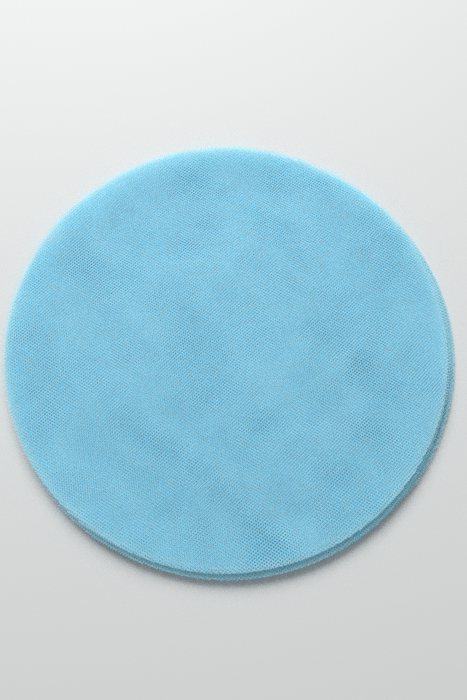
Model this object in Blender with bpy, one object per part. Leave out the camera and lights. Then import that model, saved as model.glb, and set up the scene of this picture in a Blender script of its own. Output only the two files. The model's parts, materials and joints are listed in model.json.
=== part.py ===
"""A loose pile of round tulle net circles, lying flat on one another.

Units are metres, +Z is up, and the origin is on the surface that the pile lies on, under the middle of the
pile's outline. Every circle is a plain flat disc of the net's outer shape: the open mesh of the net is too
fine for a solid. The circles aren't fastened to each other, so each is an object of its own, parented to the
circle that it lies on, and lifting one lifts those above it.
"""

import math

import bmesh
import bpy

# Driving dimensions of one cut circle and of the pile.
CIRCLE_DIAMETER = 0.2286
NET_THICKNESS = 0.00015
AIR_BETWEEN_CIRCLES = 0.0003
CIRCLE_COUNT = 20
RIM_SEGMENTS = 64

# The pile has slipped in two places, and the rims of the circles in each slipped group spread out as a narrow
# fan. From the bottom up: how many circles, how far they have slid, and in which direction.
SLIPPED_GROUPS = (
    (6, 0.0051, math.radians(8)),
    (5, 0.0029, math.radians(-74)),
)
FAN_STEP = 0.0001
FAN_SPREAD = math.radians(20)

# The circles above them lie neatly, to within this distance, each one off in another direction.
NEAT_WITHIN = 0.0003
GOLDEN_ANGLE = math.radians(137.5)

# Two circles near the top stick out on their own: index from the bottom, distance and heading.
STRAY_CIRCLES = {
    17: (0.0018, math.radians(50)),
    18: (0.0023, math.radians(128)),
}

# Nylon net, seen as one surface.
NET_COLOUR = (0.22, 0.54, 0.71, 1.0)
NET_ROUGHNESS = 0.65

# A disc's faces that meet at more than this are shaded as an edge.
EDGE_ANGLE = math.radians(30)


def clear_scene():
    """Removes whatever objects the scene starts with."""
    for thing in list(bpy.data.objects):
        bpy.data.objects.remove(thing, do_unlink=True)


def net_material():
    """Light-blue nylon net: matt, and not metallic."""
    material = bpy.data.materials.new("light_blue_net")
    material.use_nodes = True
    surface = material.node_tree.nodes["Principled BSDF"]
    surface.inputs["Base Color"].default_value = NET_COLOUR
    surface.inputs["Roughness"].default_value = NET_ROUGHNESS
    surface.inputs["Metallic"].default_value = 0.0
    return material


def circle_mesh(material):
    """One circle as a thin round plate, its underside at z = 0 and its centre on the Z axis."""
    plate = bmesh.new()
    bmesh.ops.create_circle(plate, cap_ends=True, segments=RIM_SEGMENTS, radius=CIRCLE_DIAMETER / 2)
    raised = bmesh.ops.extrude_face_region(plate, geom=plate.faces[:])["geom"]
    top_corners = [item for item in raised if isinstance(item, bmesh.types.BMVert)]
    bmesh.ops.translate(plate, verts=top_corners, vec=(0, 0, NET_THICKNESS))
    bmesh.ops.recalc_face_normals(plate, faces=plate.faces[:])
    mesh = bpy.data.meshes.new("net_circle")
    plate.to_mesh(mesh)
    plate.free()
    mesh.shade_smooth()
    mesh.set_sharp_from_angle(angle=EDGE_ANGLE)
    mesh.materials.append(material)
    return mesh


def slide_of(index):
    """How far a circle, counted from 0 at the bottom, lies from the pile's axis, and in which direction."""
    if index in STRAY_CIRCLES:
        return STRAY_CIRCLES[index]
    first = 0
    for count, distance, heading in SLIPPED_GROUPS:
        steps_down = first + count - 1 - index
        if steps_down >= 0:
            share = steps_down / (count - 1)
            return distance + FAN_STEP * steps_down, heading + FAN_SPREAD * (share - 0.5)
        first += count
    return NEAT_WITHIN * math.sqrt(index / CIRCLE_COUNT), GOLDEN_ANGLE * index


def pile_places():
    """The centre of each circle's underside, from the bottom up, with the outline centred on the Z axis."""
    rise = NET_THICKNESS + AIR_BETWEEN_CIRCLES
    places = []
    for index in range(CIRCLE_COUNT):
        distance, heading = slide_of(index)
        places.append((distance * math.cos(heading), distance * math.sin(heading), index * rise))
    across, along, _ = zip(*places)
    middle_x = (min(across) + max(across)) / 2
    middle_y = (min(along) + max(along)) / 2
    return [(x - middle_x, y - middle_y, z) for x, y, z in places]


def build_pile():
    """Lays every circle on the one before it."""
    mesh = circle_mesh(net_material())
    below, below_place = None, (0.0, 0.0, 0.0)
    for number, place in enumerate(pile_places(), start=1):
        circle = bpy.data.objects.new(f"net_circle_{number:02d}", mesh)
        bpy.context.scene.collection.objects.link(circle)
        circle.parent = below
        circle.location = [here - under for here, under in zip(place, below_place)]
        below, below_place = circle, place


clear_scene()
build_pile()
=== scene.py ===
"""The looks of a loose pile of round tulle net circles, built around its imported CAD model.

Every circle is made as real net: rows of short walls joined by slanting threads, so that the openings are
hexagons. The net is cut round, and the threads that the cut crosses end as short teeth along the rim. Each
circle lies on the one below with a little uneven air in between. Units are metres, in the CAD model's frame.
"""

import json
import math

import bpy
import numpy as np
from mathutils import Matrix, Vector


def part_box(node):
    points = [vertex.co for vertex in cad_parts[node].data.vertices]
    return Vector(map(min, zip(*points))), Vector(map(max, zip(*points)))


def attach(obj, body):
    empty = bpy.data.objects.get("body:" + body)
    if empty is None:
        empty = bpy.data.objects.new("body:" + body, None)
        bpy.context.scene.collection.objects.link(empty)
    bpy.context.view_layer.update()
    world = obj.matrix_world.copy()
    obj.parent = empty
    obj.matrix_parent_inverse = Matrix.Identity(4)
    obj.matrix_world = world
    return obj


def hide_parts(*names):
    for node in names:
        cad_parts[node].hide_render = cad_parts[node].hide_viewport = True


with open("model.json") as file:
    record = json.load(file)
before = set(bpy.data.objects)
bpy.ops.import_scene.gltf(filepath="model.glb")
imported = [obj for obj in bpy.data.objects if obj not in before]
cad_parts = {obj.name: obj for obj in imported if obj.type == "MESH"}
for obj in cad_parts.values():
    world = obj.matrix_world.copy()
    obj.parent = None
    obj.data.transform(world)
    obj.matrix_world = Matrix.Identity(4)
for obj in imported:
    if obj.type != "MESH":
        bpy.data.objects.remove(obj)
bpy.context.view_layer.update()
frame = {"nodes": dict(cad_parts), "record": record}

# The net. A wall stands MESH_WIDE from the next one in its row. The next row is MESH_TALL / 2 further on and
# shifted by half a mesh, so that the net repeats every MESH_TALL.
MESH_WIDE = 0.00219
MESH_TALL = 0.00167
WALL_LENGTH = 0.0004
THREAD_WIDTH = 0.00026
THREAD_TILT = 0.00003
KNOT_SCATTER = 0.00003

# A knot is one wall with the stubs of its four threads. These are its corners' places in its list of corners.
WEST, SOUTH_WEST, SOUTH_EAST, EAST, NORTH_EAST, NORTH_WEST = range(6)
KNOT_CORNERS = 6

# The square of net that a circle is cut from reaches this many radii from its centre.
SQUARE_REACH = 1.1

# How the cloth is pulled out of true, and how evenly it is cut. A cut thread keeps some of its length.
PULL = 0.0004
PULL_WAVELENGTH = 0.09
CUT_WAVER = 0.0005
CUT_SCATTER = 0.0001
LEAST_TOOTH_SHARE = 0.1

# How each circle is turned, in degrees: the top circle's own turn, and how far the others swing about it. The
# step from one circle to the next is in radians, and is chosen so that the swing doesn't soon repeat.
TOP_TURN = 8.0
TURN_SPREAD = 1.8
TURN_STEP = 2.4

# How the circles lie: unevenness of the air between two of them, and how loosely their rims lie.
AIR_UNEVENNESS = 0.0001
AIR_WAVELENGTH = 0.07
RIM_LOFT = 0.0001
RIM_LOFT_WIDTH = 0.026

# A smooth random surface is a sum of a few plane waves, of wavelengths between these shares of the given one.
# Dividing it by WAVE_PEAK holds it to about -1 to 1.
WAVE_COUNT = 4
WAVELENGTH_SHARES = (0.7, 1.6)
WAVE_PEAK = 1.5

# Seeds of the random draws: one for the air in the pile, and one for each net, counted up from the first.
AIR_SEED = 7
FIRST_NET_SEED = 100

# The net's colours are linear. The pale rim colour is painted light: the net is painted paler along the rim,
# in place of the light that comes in between the circles from the side.
NET_BLUE = (0.51, 0.83, 0.92, 1.0)
NET_DEEP_BLUE = (0.45, 0.81, 0.91, 1.0)
NET_PAINTED_RIM_LIGHT = (0.55, 0.84, 0.91, 1.0)
PAINTED_RIM_LIGHT_WIDTH = 0.004

# The dye's clouds and the threads' fibres are noise of these scales, and fibres make the gloss uneven.
CLOUD_SCALE = 25
CLOUD_DETAIL = 3
FIBRE_SCALE = 700
FIBRE_DETAIL = 2
LEAST_ROUGHNESS = 0.45
MOST_ROUGHNESS = 0.7
BUMP_STRENGTH = 0.3
BUMP_DISTANCE = 0.0003
SHEEN = 0.2
SHEEN_ROUGHNESS = 0.5

# The share of the light on a thread that nylon lets through.
THREAD_CLEARNESS = 0.6

# The flat map of the cloth reaches this far from the middle of its unit square, which leaves a margin.
MAP_REACH = 0.49

FLOOR_PALE = (0.50, 0.50, 0.49, 1.0)
FLOOR_ROUGHNESS = 0.8
FLOOR_REACH = 20.0

# Lamps and surround. The lamps are behind the pile, a little to the left.
KEY_PLACE = (-0.12, 0.55, 0.75)
KEY_SIZE = 0.5
KEY_POWER = 8
DISTANT_DIRECTION = (-0.35, 0.55, 0.75)
DISTANT_SPREAD = math.radians(20)
DISTANT_STRENGTH = 1.15
SURROUND_COLOUR = (0.92, 0.96, 1.0, 1.0)
SURROUND_STRENGTH = 0.5

# The camera looks down and away from itself, this far from straight down.
CAMERA_TILT = math.radians(17.0)
CAMERA_LENS = 43.0
CAMERA_NEAREST = 0.01
CAMERA_DISTANCE_IN_RADII = 3.781
AIM_OFFSET_IN_RADII = (0.034, -0.026)

# Stands in for a length of zero where something is divided by it.
TINY = 1e-9


def knot_outline():
    """A knot's corners about its centre, counter-clockwise from the west, with their heights off the net."""
    half = THREAD_WIDTH / 2
    slant = math.atan2(MESH_TALL / 2, MESH_WIDE / 2 - WALL_LENGTH)
    tip = WALL_LENGTH / 2 + half / math.sin(slant)
    shoulder_reach = half / math.cos(slant / 2)
    shoulder_x = WALL_LENGTH / 2 - shoulder_reach * math.sin(slant / 2)
    shoulder_y = shoulder_reach * math.cos(slant / 2)
    return np.array(
        [
            (-tip, 0, 0),
            (-shoulder_x, -shoulder_y, -THREAD_TILT),
            (shoulder_x, -shoulder_y, -THREAD_TILT),
            (tip, 0, 0),
            (shoulder_x, shoulder_y, THREAD_TILT),
            (-shoulder_x, shoulder_y, THREAD_TILT),
        ]
    )


def knot_grid(radius):
    """The centres of every knot on the square of net, and which knots start, end upwards and end downwards.

    Two threads leave a starting knot to its right: one up to a knot in the next row, and one down to the row
    before.
    """
    rows = math.ceil(SQUARE_REACH * radius / (MESH_TALL / 2))
    columns = math.ceil(SQUARE_REACH * radius / MESH_WIDE)
    row, column = np.mgrid[-rows : rows + 1, -columns : columns + 1]
    shifted = row % 2
    across = (column + shifted / 2) * MESH_WIDE
    along = row * MESH_TALL / 2
    centres = np.stack([across, along], axis=-1).reshape(-1, 2)
    per_row = 2 * columns + 1
    knot = np.arange(centres.shape[0]).reshape(row.shape)
    inner = (np.abs(row) < rows) & (np.abs(column) < columns)
    start = knot[inner]
    side = shifted[inner]
    return centres, start, start + per_row + side, start - per_row + side


def thread_corners(start, upper, lower):
    """Every thread as two corners of its left-hand knot and two of its right-hand one, counter-clockwise."""
    start, upper, lower = (knot * KNOT_CORNERS for knot in (start, upper, lower))
    rising = np.stack([start + EAST, upper + SOUTH_WEST, upper + WEST, start + NORTH_EAST], axis=-1)
    falling = np.stack([start + SOUTH_EAST, lower + WEST, lower + NORTH_WEST, start + EAST], axis=-1)
    return np.concatenate([rising, falling])


def turned(points, degrees):
    """Flat points turned about the origin."""
    angle = math.radians(degrees)
    turn = np.array([[math.cos(angle), math.sin(angle)], [-math.sin(angle), math.cos(angle)]])
    return points @ turn


def waves(random, wavelength):
    """A smooth random surface: the wave numbers along both axes and the phases of a few plane waves."""
    heading = random.uniform(0, 2 * math.pi, WAVE_COUNT)
    number = 2 * math.pi / (wavelength * random.uniform(*WAVELENGTH_SHARES, WAVE_COUNT))
    phase = random.uniform(0, 2 * math.pi, WAVE_COUNT)
    return np.stack([number * np.cos(heading), number * np.sin(heading), phase])


def wave_height(surface, points):
    """That surface at flat points, from about -1 to 1."""
    across, along, phase = surface
    angle = points[..., :1] * across + points[..., 1:] * along + phase
    return np.sin(angle).sum(axis=-1) / len(phase) ** 0.5 / WAVE_PEAK


def cut_radius(points, radius, waver):
    """Where the slightly uneven cut runs, in the direction of each flat point."""
    direction = points / np.maximum(np.linalg.norm(points, axis=-1, keepdims=True), TINY)
    return radius + CUT_WAVER * wave_height(waver, direction * radius)


def eased(share):
    """0 below 0, 1 above 1, and a smooth rise in between."""
    held = np.clip(share, 0, 1)
    return held * held * (3 - 2 * held)


def cut_ends(crossing, corners, radius, waver, random):
    """Where the cut ends each thread that crosses it: two flat points, beside its second and third corners.

    A crossing thread's first and last corners are inside the cut, and its other two are outside.
    """
    near = (corners[crossing[:, 0]] + corners[crossing[:, 3]]) / 2
    far = (corners[crossing[:, 1]] + corners[crossing[:, 2]]) / 2
    near_radius, far_radius = np.linalg.norm(near, axis=-1), np.linalg.norm(far, axis=-1)
    reach = cut_radius(near, radius, waver) + random.normal(0, CUT_SCATTER, len(crossing))
    share = (reach - near_radius) / np.maximum(far_radius - near_radius, TINY)
    share = np.clip(share, LEAST_TOOTH_SHARE, 1)[:, None]
    right_end = corners[crossing[:, 0]] + share * (corners[crossing[:, 1]] - corners[crossing[:, 0]])
    left_end = corners[crossing[:, 3]] + share * (corners[crossing[:, 2]] - corners[crossing[:, 3]])
    return right_end, left_end


def flat_net(radius, turn, random):
    """One round piece of net about the origin: flat corners, each one's height off the net, and the faces.

    The faces are two arrays of places in the list of corners: the knots, and the threads with the cut ones.
    """
    outline = knot_outline()
    centres, *ends = knot_grid(radius)
    pull_x, pull_y, waver = (waves(random, PULL_WAVELENGTH) for _ in range(3))
    start_of_grid = random.uniform(0, MESH_WIDE, 2)
    scatter = random.normal(0, KNOT_SCATTER, centres.shape)
    corners = turned(centres + start_of_grid, turn)[:, None] + turned(outline[:, :2], turn) + scatter[:, None]
    pulled = np.stack([wave_height(pull_x, corners), wave_height(pull_y, corners)], axis=-1)
    corners = (corners + PULL * pulled).reshape(-1, 2)
    relief = np.tile(outline[:, 2], len(centres))

    middle = corners.reshape(-1, KNOT_CORNERS, 2).mean(axis=1)
    inside = np.linalg.norm(middle, axis=-1) < cut_radius(middle, radius, waver)
    knots = np.flatnonzero(inside)[:, None] * KNOT_CORNERS + np.arange(KNOT_CORNERS)
    threads = thread_corners(*ends)
    left_in, right_in = inside[threads[:, 0] // KNOT_CORNERS], inside[threads[:, 1] // KNOT_CORNERS]
    whole = threads[left_in & right_in]

    # A thread that enters from the left is turned round, so that its first and last corners are inside.
    leaving = threads[left_in & ~right_in]
    entering = threads[right_in & ~left_in][:, [2, 3, 0, 1]]
    crossing = np.concatenate([leaving, entering])
    right_end, left_end = cut_ends(crossing, corners, radius, waver, random)
    right_place = len(corners) + np.arange(len(crossing))
    left_place = right_place + len(crossing)
    teeth = np.stack([crossing[:, 0], right_place, left_place, crossing[:, 3]], axis=-1)
    corners = np.concatenate([corners, right_end, left_end])
    relief = np.concatenate([relief, relief[crossing[:, 1]], relief[crossing[:, 2]]])
    return corners, relief, [knots, np.concatenate([whole, teeth])]


def without_unused(corners, relief, faces):
    """The same net with only the corners that a face uses."""
    used = np.unique(np.concatenate([group.ravel() for group in faces]))
    place = np.full(len(corners), -1)
    place[used] = np.arange(len(used))
    return corners[used], relief[used], [place[group] for group in faces]


def mesh_of(name, corners, faces, flat, radius, rim):
    """A Blender mesh from arrays, with a flat map of the cloth and each corner's nearness to the rim, which
    masks the painted light along the rim.
    """
    mesh = bpy.data.meshes.new(name)
    mesh.vertices.add(len(corners))
    mesh.vertices.foreach_set("co", corners.astype(np.float32).ravel())
    loops = np.concatenate([group.ravel() for group in faces])
    mesh.loops.add(len(loops))
    mesh.loops.foreach_set("vertex_index", loops.astype(np.int32))
    sizes = np.concatenate([np.full(len(group), group.shape[1]) for group in faces])
    mesh.polygons.add(len(sizes))
    mesh.polygons.foreach_set("loop_start", np.concatenate([[0], np.cumsum(sizes)[:-1]]).astype(np.int32))
    mesh.update(calc_edges=True)
    mesh.shade_smooth()
    chart = mesh.uv_layers.new(name="OFBake")
    chart.data.foreach_set("uv", (0.5 + MAP_REACH * flat[loops] / radius).astype(np.float32).ravel())
    painted_rim_light_mask = mesh.attributes.new("rim", "FLOAT", "POINT")
    painted_rim_light_mask.data.foreach_set("value", rim.astype(np.float32))
    return mesh


def pile_surfaces(count, random):
    """For each circle, the uneven air under it: over its whole face, and near the rim."""
    return [(waves(random, AIR_WAVELENGTH), waves(random, AIR_WAVELENGTH)) for _ in range(count)]


def added_height(surfaces, points, radius):
    """How much the uneven air of all these surfaces together lifts or lowers each flat point of a circle."""
    distance = np.linalg.norm(points, axis=-1)
    rim = eased((distance - radius + RIM_LOFT_WIDTH) / RIM_LOFT_WIDTH)
    lift = np.zeros(len(points))
    for face_air, rim_air in surfaces:
        lift += AIR_UNEVENNESS * wave_height(face_air, points)
        lift += RIM_LOFT * rim * (1 + wave_height(rim_air, points))
    return lift


def add_noise(tree, place, scale, detail):
    """A noise pattern that stays on the cloth."""
    noise = tree.nodes.new("ShaderNodeTexNoise")
    noise.inputs["Scale"].default_value = scale
    noise.inputs["Detail"].default_value = detail
    tree.links.new(place, noise.inputs["Vector"])
    return noise.outputs["Fac"]


def net_colour(tree, place):
    """Light blue with faint clouds in the dye, and painted light along the cut rim: paler there, in place of
    the side light that comes in between the circles.
    """
    dye = tree.nodes.new("ShaderNodeMix")
    dye.data_type = "RGBA"
    dye.inputs["A"].default_value = NET_DEEP_BLUE
    dye.inputs["B"].default_value = NET_BLUE
    tree.links.new(add_noise(tree, place, CLOUD_SCALE, CLOUD_DETAIL), dye.inputs["Factor"])
    # Painted light: near the rim the colour is mixed towards the pale rim colour, in place of side light on
    # the cut edges.
    painted_rim_light_mask = tree.nodes.new("ShaderNodeAttribute")
    painted_rim_light_mask.attribute_name = "rim"
    rim = tree.nodes.new("ShaderNodeMix")
    rim.data_type = "RGBA"
    rim.inputs["B"].default_value = NET_PAINTED_RIM_LIGHT
    tree.links.new(painted_rim_light_mask.outputs["Fac"], rim.inputs["Factor"])
    tree.links.new(dye.outputs["Result"], rim.inputs["A"])
    return rim.outputs["Result"]


def add_fibres(tree, place, surface):
    """The fine fibres of a thread, which make its gloss uneven and raise a slight bump."""
    fibres = add_noise(tree, place, FIBRE_SCALE, FIBRE_DETAIL)
    gloss = tree.nodes.new("ShaderNodeMapRange")
    gloss.inputs["To Min"].default_value = LEAST_ROUGHNESS
    gloss.inputs["To Max"].default_value = MOST_ROUGHNESS
    tree.links.new(fibres, gloss.inputs["Value"])
    tree.links.new(gloss.outputs["Result"], surface.inputs["Roughness"])
    bump = tree.nodes.new("ShaderNodeBump")
    bump.inputs["Strength"].default_value = BUMP_STRENGTH
    bump.inputs["Distance"].default_value = BUMP_DISTANCE
    tree.links.new(fibres, bump.inputs["Height"])
    tree.links.new(bump.outputs["Normal"], surface.inputs["Normal"])


def net_material():
    """Matt nylon net with a soft sheen, whose threads let part of the light through."""
    material = bpy.data.materials.new("light_blue_net")
    material.use_nodes = True
    tree = material.node_tree
    place = tree.nodes.new("ShaderNodeTexCoord").outputs["Object"]
    colour = net_colour(tree, place)
    surface = tree.nodes["Principled BSDF"]
    surface.inputs["Sheen Weight"].default_value = SHEEN
    surface.inputs["Sheen Roughness"].default_value = SHEEN_ROUGHNESS
    tree.links.new(colour, surface.inputs["Base Color"])
    add_fibres(tree, place, surface)

    # The light that comes through fills the openings with blue from below.
    through = tree.nodes.new("ShaderNodeBsdfTranslucent")
    tree.links.new(colour, through.inputs["Color"])
    threads = tree.nodes.new("ShaderNodeMixShader")
    threads.inputs["Fac"].default_value = THREAD_CLEARNESS
    tree.links.new(surface.outputs["BSDF"], threads.inputs[1])
    tree.links.new(through.outputs["BSDF"], threads.inputs[2])
    tree.links.new(threads.outputs["Shader"], tree.nodes["Material Output"].inputs["Surface"])
    return material


def make_circle(index, node, surfaces, material):
    """The net circle that stands for one CAD disc, lying where that disc lies."""
    random = np.random.default_rng(FIRST_NET_SEED + index)
    low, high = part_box(node)
    radius = (high.x - low.x) / 2
    centre = np.array([(low.x + high.x) / 2, (low.y + high.y) / 2])
    steps_down = len(surfaces) - 1 - index
    turn = TOP_TURN + TURN_SPREAD * math.sin(TURN_STEP * steps_down)
    flat, relief, faces = without_unused(*flat_net(radius, turn, random))
    points = flat + centre

    # The lowest circle lies flat on the floor, so the air under it is left out.
    height = (low.z + high.z) / 2 + relief + added_height(surfaces[1 : index + 1], points, radius)
    distance = np.linalg.norm(flat, axis=-1)
    # Painted light: each corner's nearness to the rim, which paints the net paler there.
    rim = np.clip(1 - (radius - distance) / PAINTED_RIM_LIGHT_WIDTH, 0, 1)
    mesh = mesh_of(node + "_net", np.column_stack([points, height]), faces, flat, radius, rim)
    mesh.materials.append(material)
    circle = bpy.data.objects.new(node + "_net", mesh)
    bpy.context.scene.collection.objects.link(circle)
    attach(circle, body_of_node[node])
    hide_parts(node)


def make_floor():
    """A plain pale floor under the pile."""
    near, far = -FLOOR_REACH, FLOOR_REACH
    mesh = bpy.data.meshes.new("floor")
    mesh.from_pydata([(near, near, 0), (far, near, 0), (far, far, 0), (near, far, 0)], [], [(0, 1, 2, 3)])
    material = bpy.data.materials.new("pale_floor")
    material.use_nodes = True
    surface = material.node_tree.nodes["Principled BSDF"]
    surface.inputs["Base Color"].default_value = FLOOR_PALE
    surface.inputs["Roughness"].default_value = FLOOR_ROUGHNESS
    mesh.materials.append(material)
    floor = bpy.data.objects.new("floor", mesh)
    bpy.context.scene.collection.objects.link(floor)


def add_key_light(target):
    """A square lamp close by, which faces the target."""
    lamp = bpy.data.lights.new("key", "AREA")
    lamp.shape = "SQUARE"
    lamp.size = KEY_SIZE
    lamp.energy = KEY_POWER
    light = bpy.data.objects.new("key", lamp)
    light.location = KEY_PLACE
    light.rotation_euler = (target - Vector(KEY_PLACE)).to_track_quat("-Z", "Y").to_euler()
    bpy.context.scene.collection.objects.link(light)


def add_distant_light():
    """A lamp so far away that it lights the whole floor evenly."""
    lamp = bpy.data.lights.new("distant", "SUN")
    lamp.angle = DISTANT_SPREAD
    lamp.energy = DISTANT_STRENGTH
    light = bpy.data.objects.new("distant", lamp)
    light.rotation_euler = Vector(DISTANT_DIRECTION).to_track_quat("Z", "Y").to_euler()
    bpy.context.scene.collection.objects.link(light)


def add_surround():
    """A plain pale surround, which lights from all sides."""
    world = bpy.data.worlds.new("studio")
    world.use_nodes = True
    surround = world.node_tree.nodes["Background"]
    surround.inputs["Color"].default_value = SURROUND_COLOUR
    surround.inputs["Strength"].default_value = SURROUND_STRENGTH
    bpy.context.scene.world = world


def set_picture():
    """Shows colours as they are, and leaves the noise in: cleaning it away smears the net's openings shut."""
    scene = bpy.context.scene
    scene.view_settings.view_transform = "Standard"
    scene.cycles.use_denoising = False


def place_camera(top_centre, radius):
    """The camera, in front of the pile and high over it."""
    aim = top_centre + radius * Vector((*AIM_OFFSET_IN_RADII, 0))
    forward = Vector((0, math.sin(CAMERA_TILT), -math.cos(CAMERA_TILT)))
    camera_data = bpy.data.cameras.new("camera")
    camera_data.lens = CAMERA_LENS
    camera_data.clip_start = CAMERA_NEAREST
    camera = bpy.data.objects.new("camera", camera_data)
    camera.location = aim - CAMERA_DISTANCE_IN_RADII * radius * forward
    camera.rotation_euler = (CAMERA_TILT, 0, 0)
    bpy.context.scene.collection.objects.link(camera)
    bpy.context.scene.camera = camera


nodes_upwards = sorted(frame["nodes"], key=lambda node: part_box(node)[0].z)
nodes_of_body = frame["record"]["behaviour"]["bodies"]
body_of_node = {node: body for body, nodes in nodes_of_body.items() for node in nodes}
pile_air = pile_surfaces(len(nodes_upwards), np.random.default_rng(AIR_SEED))
net = net_material()
for position, node_name in enumerate(nodes_upwards):
    make_circle(position, node_name, pile_air, net)

top_low, top_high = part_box(nodes_upwards[-1])
pile_top = (top_low + top_high) / 2
make_floor()
add_key_light(pile_top)
add_distant_light()
add_surround()
place_camera(pile_top, (top_high.x - top_low.x) / 2)
set_picture()
